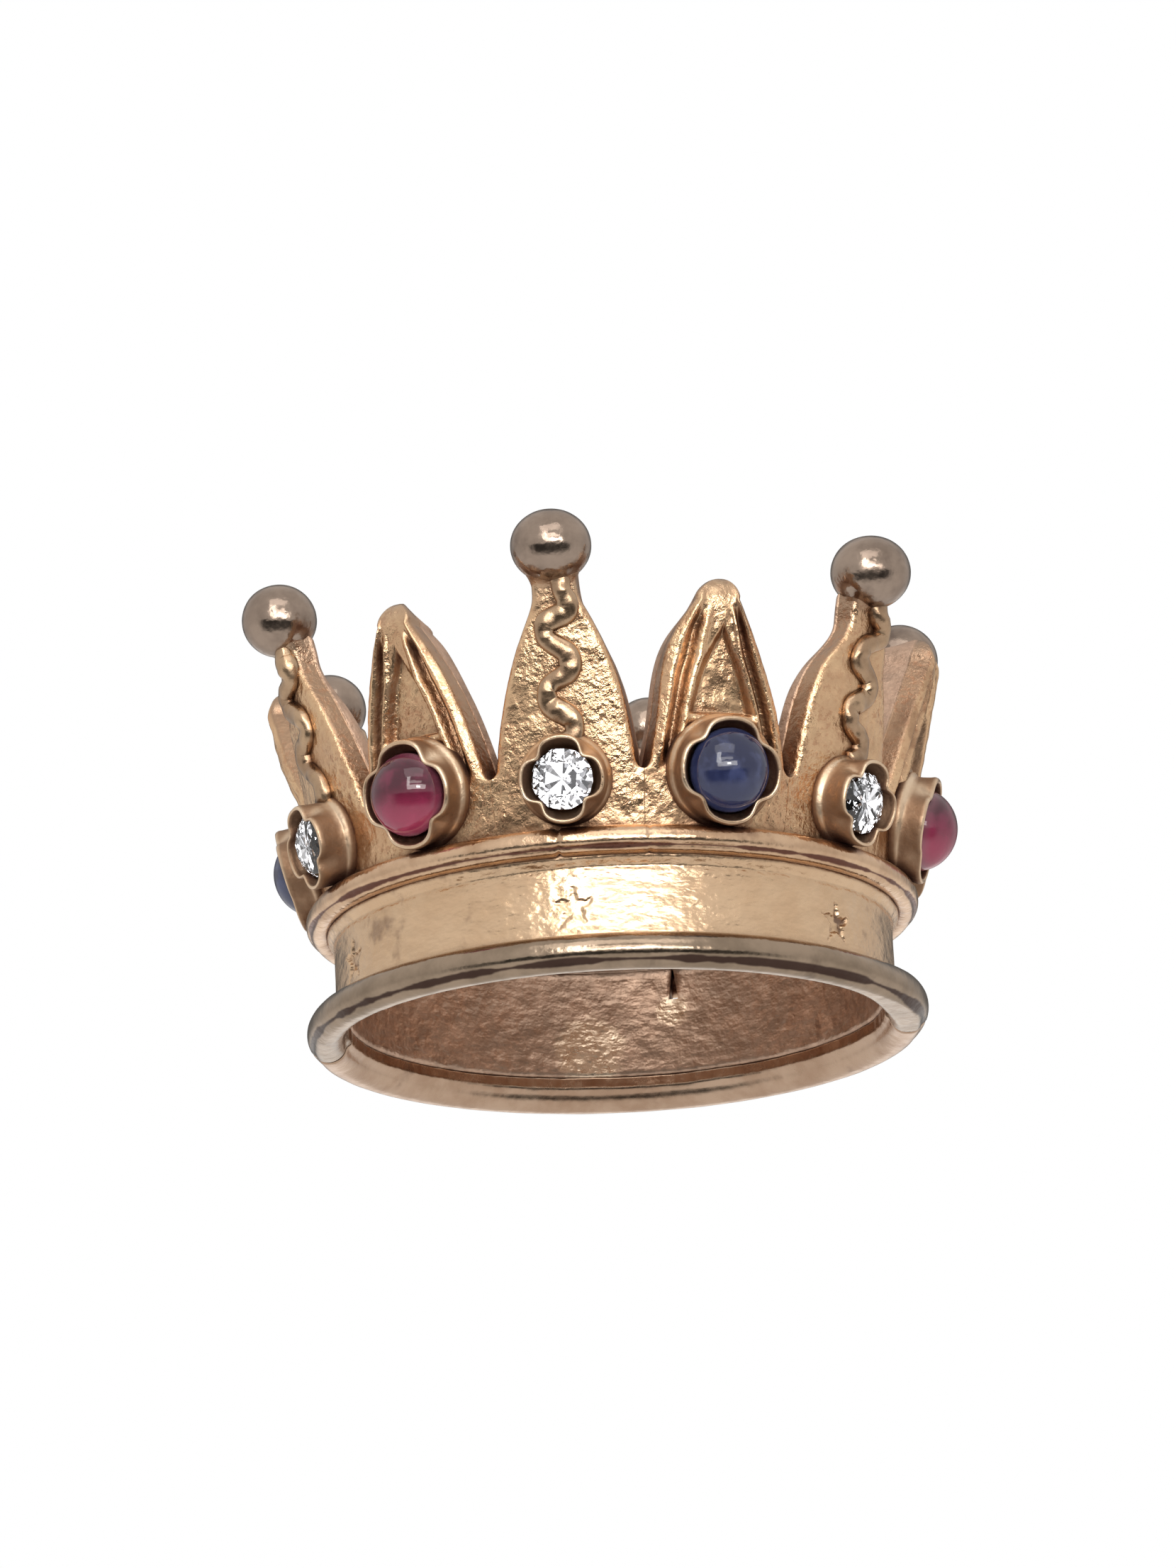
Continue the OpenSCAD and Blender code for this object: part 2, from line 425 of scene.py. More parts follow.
# A shallow groove round a wire, and a painted dark reflection along its lower outer side: where it
# runs round the wire's own section, and how deep the groove is
GROOVE_ANGLE = math.radians(-42)
GROOVE_DEPTH = 0.09


def groove_dark_reflection_share(n, ring_r, ring_z):
    """1 along a painted dark reflection on the lower outer side of a wire, where its groove runs."""
    radius, z = ring_place(n)
    angle = n.maths("ARCTAN2", n.maths("SUBTRACT", z, ring_z * MM),
                    n.maths("SUBTRACT", radius, ring_r * MM))
    away = n.maths("ABSOLUTE", n.maths("SUBTRACT", angle, GROOVE_ANGLE))
    reach = n.span(n.noise(3.5, detail=4.0, roughness=0.6), 0.36, 0.64, 0.04, 0.26)
    return n.span(n.maths("SUBTRACT", away, reach), -0.05, 0.09, 0.92, 0.0)


# Pale patches on the bore: solder beside its open joint, and a painted highlight low down; turn,
# height and reach
SOLDER_AND_HIGHLIGHT_PATCHES = [(math.radians(175), 3.7, 0.75), (math.radians(194), 2.2, 1.5)]
SOLDER_AND_HIGHLIGHT_TONE = (0.98, 0.78, 0.58)


def bore_patch_share(n, turn, z, reach):
    """1 on a ragged patch of the bore about a place given by its turn and height."""
    away = n.vectors("DISTANCE", n.place, radial(turn, BORE_R, z) * MM)
    ragged = n.times(n.noise(0.8, detail=4.0, roughness=0.7), reach * 1.2 * MM)
    return n.span(n.maths("ADD", away, ragged), reach * 1.2 * MM, reach * 1.6 * MM, 1.0, 0.0)


def facing_out(n, normal):
    """1 where a surface faces away from the crown's axis, -1 where it faces the axis."""
    outward = n.vectors("NORMALIZE", n.vectors("MULTIPLY", n.place, (1.0, 1.0, 0.0)))
    return n.vectors("DOT_PRODUCT", normal, outward)


def metal(name, bright, deep, dirt_and_shade_tone, smoothness, grains, grain_depth, inside=None, waves=0.03,
          stretch=None, star_dirt=False, side_shade=None, flank_rough=0.1, valley=None,
          neck=None, groove=None, smudge=0.0):
    """Cast or wrought metal: two tones, dark dirt and painted shade in the hollows, grain and soft
    waves.

    inside, valley and neck are its tones in the bore, in the low places of its grain and near the
    balls, and the side tone is a painted shade on the points' sides; smudge is how strong its stains
    are.
    """
    n = Paint(name)
    patches = n.noise(1.6, detail=4.0, roughness=0.6)
    specks = n.noise(grains, detail=3.0, roughness=0.6, stretch=stretch)
    tone = n.mix(n.span(patches, 0.35, 0.68), bright, deep)
    # Ambient occlusion darkens corners and gaps: dirt that gathers there, and painted shade where
    # light is blocked between parts
    closed = n.maths("MAXIMUM", n.hollow(0.5, 0.3, 0.9), n.times(n.hollow(1.8, 0.25, 0.85), 0.35))
    dirt_and_shade_share = n.times(closed, n.span(specks, 0.25, 0.6, 0.7, 1.0))
    rough = n.span(n.noise(0.5, detail=5.0, roughness=0.7), 0.3, 0.7, *smoothness)
    if side_shade:
        # Painted shade: sides that face neither out nor in, such as the points' and drums' sides, get
        # a darker tone
        facing = facing_out(n, n.new("ShaderNodeNewGeometry").outputs["Normal"])
        side_shade_share = n.span(n.maths("ABSOLUTE", facing), 0.25, 0.8, 1.0, 0.0)
        tone = n.mix(n.times(side_shade_share, 0.85), tone, side_shade)
        rough = n.maths("ADD", rough, n.times(side_shade_share, flank_rough))
    height = specks
    if valley:
        rubbed = n.span(n.noise(2.4, detail=3.0), 0.38, 0.6, 0.35, 1.0)
        low = n.span(specks, 0.36, 0.5, 0.62, 0.0)
        tone = n.mix(n.times(low, rubbed), tone, valley)
        height = n.times(specks, rubbed)
    if neck:
        tone = n.mix(n.span(ring_place(n)[1], 13.2 * MM, 14.9 * MM, 0.0, 0.6), tone, neck)
    if smudge:
        stains = n.span(n.noise(2.2, detail=4.0, roughness=0.6), 0.58, 0.72, 0.0, smudge)
        tone = n.mix(stains, tone, dirt_and_shade_tone)
    # Painted reflection: a dark line along the wire's groove stands for the dark surroundings seen in
    # its lower side
    if groove:
        dirt_and_shade_share = n.maths("MAXIMUM", dirt_and_shade_share, groove_dark_reflection_share(n, *groove))
    broad = n.bump(n.noise(0.7, detail=2.0, stretch=stretch), waves)
    if inside:
        share, radius = inside_share(n)
        broad = n.bump(n.times(share, n.noise(1.3, detail=4.0, roughness=0.6)), 0.14, under=broad)
        mottled = n.mix(n.span(n.noise(0.9, detail=5.0, roughness=0.7), 0.35, 0.65), inside,
                        tuple(c * 0.72 for c in inside))
        tone = n.mix(share, tone, mottled)
        rough = n.maths("ADD", rough, n.times(share, 0.2))
        # Pale patches on the bore: the first is solder beside the joint, the second a painted
        # highlight
        for place in SOLDER_AND_HIGHLIGHT_PATCHES:
            solder_and_highlight = n.times(bore_patch_share(n, *place), share)
            tone = n.mix(n.times(solder_and_highlight, 0.8), tone, SOLDER_AND_HIGHLIGHT_TONE)
            rough = n.maths("SUBTRACT", rough, n.times(solder_and_highlight, 0.12))
        dirt_and_shade_share = n.times(dirt_and_shade_share, n.span(share, 0.0, 1.0, 1.0, 0.3))
        if star_dirt:
            floor = n.span(radius, (BAND_R - 0.19) * MM, (BAND_R - 0.1) * MM, 1.0, 0.0)
            floor = n.times(floor, n.span(share, 0.0, 1.0, 1.0, 0.0))
            patchy = n.span(n.noise(0.5, detail=3.0), 0.42, 0.62, 0.0, 0.8)
            dirt_and_shade_share = n.maths("MAXIMUM", dirt_and_shade_share, n.times(floor, patchy))
    return n.shade({"Base Color": n.mix(dirt_and_shade_share, tone, dirt_and_shade_tone), "Metallic": 1.0,
                    "Roughness": n.maths("ADD", rough, n.times(closed, 0.2)),
                    "Normal": n.bump(height, grain_depth, under=broad)})


def milky(name, deep, haze, pool, edge, roughness, clearness):
    """Coloured cabochon: dark body, a painted pool of light low down, a painted pale reflection round
    its thin edge and worn patches.
    """
    n = Paint(name)
    body = n.mix(n.span(n.noise(0.8, detail=3.0), 0.42, 0.68), deep, haze)
    # Painted light: the lower part of the stone takes the pool colour, as if lit through the dome
    low = n.span(ring_place(n)[1], (CABOCHON_Z - 1.5) * MM, (CABOCHON_Z + 0.1) * MM, 1.0, 0.0)
    body = n.mix(low, body, pool)
    # Painted reflection: a pale edge low on the dome, near its setting
    rim = n.span(proud_of_wall(n), (DOME_FOOT - 0.1) * MM, (DOME_FOOT + 0.65) * MM, 1.0, 0.0)
    rim = n.times(rim, n.span(n.noise(1.5, detail=2.0), 0.35, 0.55, 0.3, 1.0))
    rubbed = n.span(n.noise(0.35, detail=5.0, roughness=0.7), 0.4, 0.75, roughness, roughness + 0.12)
    return n.shade({"Base Color": n.mix(rim, body, edge), "Roughness": rubbed, "IOR": 1.65,
                    "Transmission Weight": clearness,
                    "Normal": n.bump(n.noise(0.6, detail=2.0), 0.012)})


def brilliant(name):
    """Clear cut stone whose lower facets are silvered like a foiled rhinestone."""
    n = Paint(name)
    surface = n.new("ShaderNodeNewGeometry")
    # light inside the stone meets its facets from behind, with their normals turned round
    side = n.span(surface.outputs["Backfacing"], 0.0, 1.0, 1.0, -1.0)
    facing = n.times(facing_out(n, surface.outputs["True Normal"]), side)
    dust = n.span(n.noise(0.5, detail=4.0, roughness=0.7), 0.35, 0.7)
    return n.shade({"Metallic": n.span(facing, -0.3, -0.2, 1.0, 0.0),
                    "Base Color": n.mix(dust, (0.98, 0.98, 1.0), (0.9, 0.92, 0.95)),
                    "Roughness": n.span(dust, 0.0, 1.0, 0.0, 0.03), "IOR": 1.9,
                    "Transmission Weight": 1.0})


def make_materials():
    copper_inside = (0.66, 0.46, 0.34)
    return {
        "wall": metal("cast_gold_tone", (0.88, 0.60, 0.36), (0.74, 0.47, 0.28),
                      (0.12, 0.05, 0.03), (0.16, 0.32), 0.22, 0.065, copper_inside,
                      side_shade=(0.42, 0.27, 0.18), valley=(0.54, 0.28, 0.16),
                      neck=(0.46, 0.34, 0.25), smudge=0.35),
        "band": metal("satin_gold_tone", (0.84, 0.60, 0.39), (0.78, 0.54, 0.34),
                      (0.12, 0.055, 0.045), (0.16, 0.3), 0.25, 0.014, copper_inside, waves=0.07,
                      stretch=(1.0, 1.0, 1.8), star_dirt=True, smudge=0.5),
        "rim": metal("dark_bronze_rim", (0.42, 0.32, 0.235), (0.31, 0.235, 0.17),
                     (0.05, 0.026, 0.022), (0.1, 0.24), 0.4, 0.01, waves=0.03,
                     groove=(BASE_R, BASE_WIRE / 2 - WIRE_FLAT), smudge=0.4),
        "rear_rim": metal("coppery_bronze_rim", (0.60, 0.43, 0.31), (0.48, 0.32, 0.22),
                          (0.10, 0.045, 0.035), (0.16, 0.3), 0.5, 0.008, waves=0.03, smudge=0.4),
        "collar": metal("gold_tone_bead", (0.80, 0.56, 0.37), (0.62, 0.41, 0.26),
                        (0.11, 0.035, 0.028), (0.14, 0.28), 0.3, 0.02, waves=0.045,
                        groove=(COLLAR_R, COLLAR_Z), smudge=0.45),
        "ball": metal("polished_bronze", (0.43, 0.335, 0.27), (0.30, 0.23, 0.185),
                      (0.07, 0.045, 0.04), (0.1, 0.26), 0.35, 0.012, waves=0.03, smudge=0.4),
        "drum": metal("copper_drum", (0.90, 0.70, 0.50), (0.74, 0.52, 0.34),
                      (0.12, 0.05, 0.035), (0.24, 0.42), 0.25, 0.02,
                      side_shade=(0.30, 0.175, 0.105), flank_rough=0.25, smudge=0.4),
        "wire": metal("gold_tone_wire", (0.60, 0.42, 0.27), (0.40, 0.26, 0.165),
                      (0.08, 0.04, 0.03), (0.18, 0.34), 0.3, 0.016),
        "clear": brilliant("clear_stone"),
        "red": milky("red_cabochon", (0.085, 0.008, 0.026), (0.22, 0.024, 0.07),
                     (0.50, 0.055, 0.14), (0.46, 0.20, 0.25), 0.02, 0.45),
        "blue": milky("blue_cabochon", (0.015, 0.021, 0.072), (0.08, 0.10, 0.23),
                      (0.03, 0.04, 0.11), (0.065, 0.08, 0.18), 0.05, 0.35),
    }


# ---------------- the cast wall

def arch_half(shape, z):
    """Half-width of a pointed arch at a height."""
    rise = np.clip(np.asarray(z, float) - shape["spring"], 0, shape["arc"])
    return shape["half"] - shape["arc"] + np.sqrt(shape["arc"] ** 2 - rise ** 2)


def bell_half(z):
    arch, blend = arch_half(BELL, z), 0.12
    return (arch + NECK_HALF) / 2 + np.sqrt(((arch - NECK_HALF) / 2) ** 2 + blend ** 2 / 4)


def lancet_half(z):
    tip_z = LANCET_TOP - LANCET_TIP_R
    above = np.clip(np.asarray(z, float) - tip_z, 0, None)
    tip = np.sqrt(np.clip(LANCET_TIP_R ** 2 - above ** 2, 0, None))
    return np.where(np.asarray(z) > tip_z, tip, arch_half(LANCET, z))


def half_width(outline, z):
    """Half of a point's width; below the notches it is half of its share of the ring."""
    full = wall_radius(z) * math.sin(PAIR_TURN / 4)
    open_share = np.where(z > NOTCH_Z, 1 - round_over(z - NOTCH_Z, 0.25), 0.0)
    return full - (full - outline(z)) * open_share


def widening(habit, x, z, half):
    """How much wider a point's two edges are than the ideal, as a share of its width."""
    left, right = habit.get("fuller", (0.0, 0.0))
    belly = bump(habit.get("fuller_z", FULLER_Z), FULLER_REACH, z)
    belly = belly * smooth(NOTCH_Z, NOTCH_Z + 1, z)
    return 1 + belly * np.where(x < 0, left, right) / np.maximum(half, 0.7)


def bell_relief(edge, true_edge, half, z, open_share):
    """Ball point: soft rounded edges on a plain face."""
    return -0.24 * round_over(edge, 0.32) * open_share


def lancet_relief(edge, true_edge, half, z, open_share):
    """Lancet: rim ridge, groove, inner ridge and a sunk panel that ends on a ledge."""
    rounded = -0.2 * round_over(edge, 0.2)
    fade = smooth(7.5, 8.6, z)
    wide = smooth(0.8, 1.25, half)
    groove = -0.34 * bump(0.66, 0.14, edge) * wide
    ridge = 0.15 * bump(1.0, 0.12, edge) * wide + 0.12 * bump(0.34, 0.13, edge)
    panel = -0.34 * smooth(1.12, 1.36, true_edge) * smooth(LEDGE_Z - 0.05, LEDGE_Z + 0.05, z)
    ledge = 0.09 * bump(LEDGE_Z - 0.22, 0.14, z) * smooth(0.9, 1.2, true_edge)
    top_fade = 1 - smooth(LANCET_TOP - 0.9, LANCET_TOP - 0.3, z)
    return rounded * open_share + (groove + ridge) * fade * top_fade + panel + ledge


POINT_KINDS = {
    "bell": {
        "outline": bell_half, "relief": bell_relief, "top": NECK_TOP,
        "tip_height": 0.22, "tip_depth": 0.2, "back_round": (0.2, 0.18), "thicken": -0.3,
        "back_drop": 0.0,
        "near_edge": [0, 0.03, 0.07, 0.12, 0.19, 0.28, 0.4, 0.54, 0.7],
    },
    "lancet": {
        "outline": lancet_half, "relief": lancet_relief, "top": LANCET_TOP - 0.004,
        "tip_height": 1.0, "tip_depth": 0.75, "back_round": (0.8, 0.5), "thicken": 0.35,
        "back_drop": 0.26,
        "near_edge": [0, 0.025, 0.06, 0.11, 0.17, 0.24, 0.31, 0.38, 0.46, 0.54, 0.62, 0.71,
                      0.8, 0.9, 1.0, 1.08, 1.14, 1.2, 1.26, 1.34],
    },
}
INNER_EDGE = [0, 0.06, 0.16, 0.3]
MIDDLE_STEP = 0.115
ROW_STEP = 0.115


def row_heights(kind):
    top = kind["top"]
    below = np.linspace(BAND_H, NOTCH_Z, 22)
    opening = NOTCH_Z + 0.25 * (1 - np.cos(np.linspace(0, math.pi / 2, 5)[1:]))
    tip_start = top - LANCET_TIP_R
    count = int((tip_start - opening[-1]) / ROW_STEP)
    body = np.linspace(opening[-1], tip_start, count + 1)[1:]
    ledge = LEDGE_Z + np.array([-0.05, -0.02, 0.02, 0.05])
    tip = tip_start + LANCET_TIP_R * np.sin(np.linspace(0, math.pi / 2, 10)[1:])
    return np.unique(np.concatenate([below, opening, body, ledge, tip]).round(5))


def columns(half, near_edge, count):
    """Places across a face: fixed steps near both edges, even steps between them."""
    near = np.array(near_edge)
    shrink = np.minimum(1.0, half / (near[-1] + 0.35))[:, None]
    left = -half[:, None] + near[None, :] * shrink
    middle_t = np.linspace(-1, 1, count + 2)[None, 1:-1]
    middle = middle_t * (half[:, None] - near[-1] * shrink)
    x = np.concatenate([left, middle, -left[:, ::-1]], axis=1)
    edge = (half[:, None] - np.abs(x)) / shrink
    return x, edge


SIDE_STEPS = 5


def add_wall_sector(solid, name, i):
    """One point with its share of the ring below it, as outer face, inner face and sides."""
    kind, habit, turn = POINT_KINDS[name], STRAYS.get((name, i), {}), point_turn(name, i)
    top, square = kind["top"], habit.get("square", 0.0)
    rows = row_heights(kind)
    half = half_width(kind["outline"], rows)
    wide = half[:, None]
    open_share = np.clip((rows - NOTCH_Z) / 0.3, 0, 1)[:, None]

    middle = int(2 * (half.max() - kind["near_edge"][-1]) / MIDDLE_STEP)
    x, edge = columns(half, kind["near_edge"], middle)
    z = np.broadcast_to(rows[:, None], x.shape)
    relief = kind["relief"](edge, wide - np.abs(x), wide, z, open_share)
    relief = relief - kind["tip_depth"] * round_over(top - z, kind["tip_height"])
    flat = on_wall(turn, x, z, np.zeros_like(x)).reshape(-1, 3)
    lumps = (0.025 * grain(flat, 0.6) + 0.02 * grain(flat, 0.26, 3)).reshape(x.shape)
    outer = stray(name, i, on_wall(turn, x * widening(habit, x, z, wide), z, relief + lumps))
    start_outer = solid.grid(outer)

    x, edge = columns(half, INNER_EDGE, 5)
    z = np.broadcast_to(rows[:, None], x.shape)
    back_height, back_depth = kind["back_round"]
    soft = 0.16 * round_over(edge, 0.2) * open_share
    back = back_depth * round_over(top - rows[:, None], back_height) * (1 - square)
    depth = WALL_T + (kind["thicken"] + 0.3 * square) * smooth(11.0, 13.6, z) - soft - back
    inner_r = np.maximum(BORE_R, wall_radius(z) - depth / math.cos(LEAN))
    x = x * widening(habit, x, z, wide)
    # above the notches the sides run straight through the wall, parallel to the point's
    # middle plane; below them each sector is a slice of the ring
    straight = np.arctan2(x, np.sqrt(np.maximum(inner_r ** 2 - x ** 2, 1)))
    sliced = np.arcsin(np.clip(x / wall_radius(z), -1, 1))
    angle = turn + np.where(z > NOTCH_Z + 0.01, straight, sliced)
    drop = kind["back_drop"] * (1 - square) * smooth(top - 1.8, top, z)
    inner = stray(name, i, radial(angle, inner_r, z - drop))
    inner = inner * (1 + 0.002 * grain(inner.reshape(-1, 3), 0.6, 5).reshape(x.shape)[..., None])
    start_inner = solid.grid(inner)

    share = np.linspace(0, 1, SIDE_STEPS + 2)[None, :, None]
    for side in (0, -1):
        solid.grid(outer[:, side, None] * (1 - share) + inner[:, side, None] * share)
    for row in (0, len(rows) - 1):
        a, b = start_outer + row * outer.shape[1], start_inner + row * inner.shape[1]
        solid.faces.append((*range(a, a + outer.shape[1]),
                            *reversed(range(b, b + inner.shape[1]))))


# Each ball's half-width, and their half-height: they were pressed a little flat
BALL_WIDE = {1: 1.51, 2: 1.51, 3: 1.45, 4: 1.46, 5: 1.42, 6: 1.42}
BALL_TALL = 1.38


def add_ball_fillet(solid, i):
    """Metal that runs from a neck up round the lower part of its ball."""
    outward, across, up, out = axes(point_turn("bell", i))
    centre = outward * BALL_OUT + np.array([0, 0, BALL_Z])
    start, end = 0.85, 1.6
    flare = 0.26 if BALL_WIDE[i] > 1.48 else 0.18
    neck_t = WALL_T + POINT_KINDS["bell"]["thicken"]
    back = neck_t / 2 - (wall_radius(BALL_Z) - BALL_OUT) * math.cos(LEAN)
    a = full_turn(40)
    rings = []
    for t in np.linspace(0, 1, 14):
        ease = t * t * (3 - 2 * t)
        spread = flare * (1 - t) ** 2.2
        # from round under the ball to nearly the neck's rectangle
        power = 1 - 0.45 * ease
        cx = np.sign(np.cos(a)) * np.abs(np.cos(a)) ** power * (NECK_HALF + spread)
        cy = np.sign(np.sin(a)) * np.abs(np.sin(a)) ** power * (neck_t / 2 - 0.02 + 2 * spread)
        height = -(start + (end - start) * t)
        rings.append(centre + cx[:, None] * across + (cy - back * ease)[:, None] * out
                     + height * up)
    solid.grid(stray("bell", i, np.array(rings)), wrap_cols=True)


def build_wall(materials):
    solid = Solid()
    for i in range(1, POINTS + 1):
        add_wall_sector(solid, "bell", i)
        add_wall_sector(solid, "lancet", i)
        add_ball_fillet(solid, i)
    solid.make("crown_wall_cast", materials["wall"], "crown_wall")


# ---------------- band and rims

# Punched stars; the front one is worn shallow
STAR_R = 0.85
STAR_DEPTH = 0.15
FRONT_STAR_WEAR = 0.28
STAR_Z = 2.6
# The band's open joint at the back, which narrows towards the top
SLOT_TURN = math.radians(175)
SLOT_HALF = 0.2
SLOT_FOOT = 4.1
SLOT_TAPER = 0.25


def star_share(x, y):
    """1 inside a five-pointed star, 0 outside, with a narrow ragged slope between."""
    fifth = 2 * math.pi / 5
    folded = np.abs((np.arctan2(x, y) + fifth / 2) % fifth - fifth / 2)
    valley = STAR_R * 0.42 * np.array([math.cos(fifth / 2), math.sin(fifth / 2)])
    side = valley - np.array([STAR_R, 0.0])
    outward = np.array([side[1], -side[0]]) / np.hypot(*side)
    radius = np.hypot(x, y)
    distance = (radius * np.cos(folded) - STAR_R) * outward[0] + radius * np.sin(folded) * outward[1]
    ragged = grain(np.stack([x.ravel(), y.ravel(), np.zeros(x.size)], axis=-1), 0.16, 31)
    return smooth(-0.06, 0.1, -(distance + 0.09 * ragged.reshape(x.shape)))


def band_turns():
    """Columns round the band: fine across each star, coarser between, exact at the slot."""
    fine = STAR_R * 1.1 / BAND_R
    turns = []
    for i in range(POINTS):
        centre = i * PAIR_TURN
        turns += list(np.linspace(centre - fine, centre + fine, 44))
        turns += list(np.linspace(centre + fine, centre + PAIR_TURN - fine, 22)[1:-1])
    slot = SLOT_HALF / BAND_R
    edges = [SLOT_TURN - slot, SLOT_TURN + slot]
    turns = [t for t in turns if abs(t - SLOT_TURN) > slot * 1.3] + edges
    return np.sort(np.array(turns)), edges


def build_band(materials):
    """Ring of sheet with punched stars, solder under the collar and an open joint at the back."""
    turns, slot_edges = band_turns()
    count = len(turns)
    low = [BAND_FOOT, BAND_FOOT + 0.03, BAND_FOOT + 0.1]
    z_star = list(np.linspace(STAR_Z - STAR_R - 0.1, STAR_Z + STAR_R + 0.1, 46))
    z_low = list(np.linspace(BAND_FOOT + 0.2, z_star[0], 4)[:-1])
    z_high = list(np.linspace(z_star[-1], BAND_H, 28)[1:])
    z_out = np.array(sorted(low + z_low + z_star + z_high + [SLOT_FOOT]))
    z_in = np.array([BAND_H, 5.0, 4.7, SLOT_FOOT, 3.9, 3.3, 2.6, 1.9, 1.5, 1.38, 1.3, BAND_FOOT])

    def narrowed(grid_turns, grid_z):
        """Draws the slot's two edges together towards the top."""
        share = np.clip((grid_z - SLOT_FOOT) / (BAND_H - SLOT_FOOT), 0, 1)
        pull = share * (1 - SLOT_TAPER)
        on_edge = np.isin(grid_turns, slot_edges)
        return np.where(on_edge, SLOT_TURN + (grid_turns - SLOT_TURN) * (1 - pull), grid_turns)

    tt, zz = np.meshgrid(turns, z_out)
    tt = narrowed(tt, zz)
    places = radial(tt, BAND_R, zz)
    flat = places.reshape(-1, 3)
    ripple = (0.022 * grain(flat, 1.3, 11) + 0.012 * grain(flat, 0.45, 12)).reshape(tt.shape)
    solder = 0.02 * bump(3.9, 0.14, zz) + 0.26 * smooth(4.02, 4.42, zz)
    corner = -0.06 * (1 - smooth(BAND_FOOT, BAND_FOOT + 0.1, zz))
    nearest = (tt + PAIR_TURN / 2) % PAIR_TURN - PAIR_TURN / 2
    wear = np.where(np.abs(tt - nearest) < 0.1, FRONT_STAR_WEAR, 1.0)
    stars = -STAR_DEPTH * wear * star_share(nearest * BAND_R, zz - STAR_Z)
    outer = radial(tt, BAND_R - 0.05 + ripple + solder + corner + stars, zz)

    ti, zi = np.meshgrid(turns, z_in)
    ti = narrowed(ti, zi)
    inner_flat = radial(ti, BORE_R, zi).reshape(-1, 3)
    worn = 0.015 * grain(inner_flat, 0.9, 13).reshape(ti.shape)
    inner_edge = 0.07 * (1 - smooth(BAND_FOOT, BAND_FOOT + 0.12, zi))
    inner = radial(ti, BORE_R + 0.02 + worn + inner_edge, zi)

    solid = Solid()
    start = solid.add(np.concatenate([outer, inner]))
    z_all = np.concatenate([z_out, z_in])
    rows, left = len(z_all), int(np.argmin(np.abs(turns - slot_edges[0])))
    cut = [z >= SLOT_FOOT - 1e-6 for z in z_all]
    quads = grid_faces(rows, count, wrap_cols=True, wrap_rows=True, start=start)
    solid.faces += [quad for k, quad in enumerate(quads)
                    if not (k % count == left and cut[k // count] and cut[(k // count + 1) % rows])]
    # the slot's two cheeks and its floor
    cut_rows = [start + r * count for r in range(rows) if cut[r]]
    for c in (left, left + 1):
        solid.faces.append(tuple(row + c for row in cut_rows))
    first, last = cut_rows[0] + left, cut_rows[-1] + left
    solid.faces.append((first, first + 1, last + 1, last))
    solid.make("band_ring", materials["band"], "band")


def wire_ring(radius, z, wire_r, inner_limit, turns, seed, nicks=(), closed=True, solder=None):
    """Round wire with a drawn line round it, and solder inside as far in as given."""
    a = full_turn(48)
    tt = np.asarray(turns)[:, None]
    path = radial(np.asarray(turns), radius, z)
    sway = 0.02 * grain(path, 3.0, seed)[:, None]
    swell = 1 - 0.015 - 0.025 * (grain(path, 1.1, seed + 1)[:, None] + 1) / 2
    for nick_turn, nick_half, nick_depth in nicks:
        swell = swell - nick_depth * bump(nick_turn * radius, nick_half, tt * radius)
    ends = np.ones_like(tt)
    if not closed:
        reach = np.minimum(tt - tt[0], tt[-1] - tt) * radius
        ends = 1 - 0.1 * round_over(reach, 0.15)
    line = GROOVE_DEPTH * bump(GROOVE_ANGLE + 2 * math.pi, 0.22, a)[None, :]
    r = wire_r * swell * ends - line * (0.75 + 0.25 * grain(path, 0.9, seed + 2)[:, None])
    ring_r = np.maximum(radius + sway * 0.5 + r * np.cos(a)[None, :], inner_limit)
    if solder is not None:
        filled = smooth(-0.25, 0.1, np.sin(a)) * (1 - smooth(0.7, 0.85, np.sin(a))) * (np.cos(a) < 0)
        ring_r = ring_r * (1 - filled) + np.minimum(ring_r, solder) * filled
    ring_z = z + r * np.sin(a)[None, :]
    return radial(tt, ring_r, ring_z)


# Where the base wire's open joints are, and how wide each is; the last is the first again
BASE_JOINTS = [math.radians(-89), math.radians(100), math.radians(271)]
BASE_JOINT_GAP = 0.16
# Lumps and nicks along the wires: turn, half-length and how deep each is
BASE_LUMP = (math.radians(85), 2.4, -0.2)
COLLAR_NICKS = [(math.radians(-2), 0.09, 0.22), (math.radians(15.6), 0.07, 0.12)]


def build_rims(materials):
    """Two arcs of base wire, and the bead that stands for the collar."""
    gap = BASE_JOINT_GAP / BASE_R
    near_end = np.array([0.002, 0.006, 0.012])
    for node, tone, seed, lumps, first, last in (
            ("base_rim_front", "rim", 21, [BASE_LUMP], *BASE_JOINTS[:2]),
            ("base_rim_rear", "rear_rim", 23, [], *BASE_JOINTS[1:])):
        turns = np.linspace(first + gap / 2, last - gap / 2, 220)
        turns = np.sort(np.concatenate([turns, turns[0] + near_end, turns[-1] - near_end]))
        bore = radial(turns, BORE_R, 0.0)
        spread = 0.06 * grain(bore, 1.6, seed + 40) + 0.03 * grain(bore, 0.4, seed + 41)
        wire = wire_ring(BASE_R, BASE_WIRE / 2 - WIRE_FLAT, BASE_WIRE / 2, 0, turns, seed, lumps,
                         closed=False, solder=BORE_R + 0.12 + spread[:, None])
        wire[..., 2] = np.maximum(wire[..., 2], 0.0)
        make_tube(wire, node + "_wire", materials[tone], node)

    turns = full_turn(560) - math.pi
    bead = wire_ring(COLLAR_R, COLLAR_Z, COLLAR_WIRE / 2, BAND_R - 0.1, turns, 25, COLLAR_NICKS)
    solid = Solid()
    solid.grid(bead, wrap_cols=True, wrap_rows=True)
    solid.make("collar_bead", materials["collar"], "collar_rim")


# ---------------- balls and wavy wires

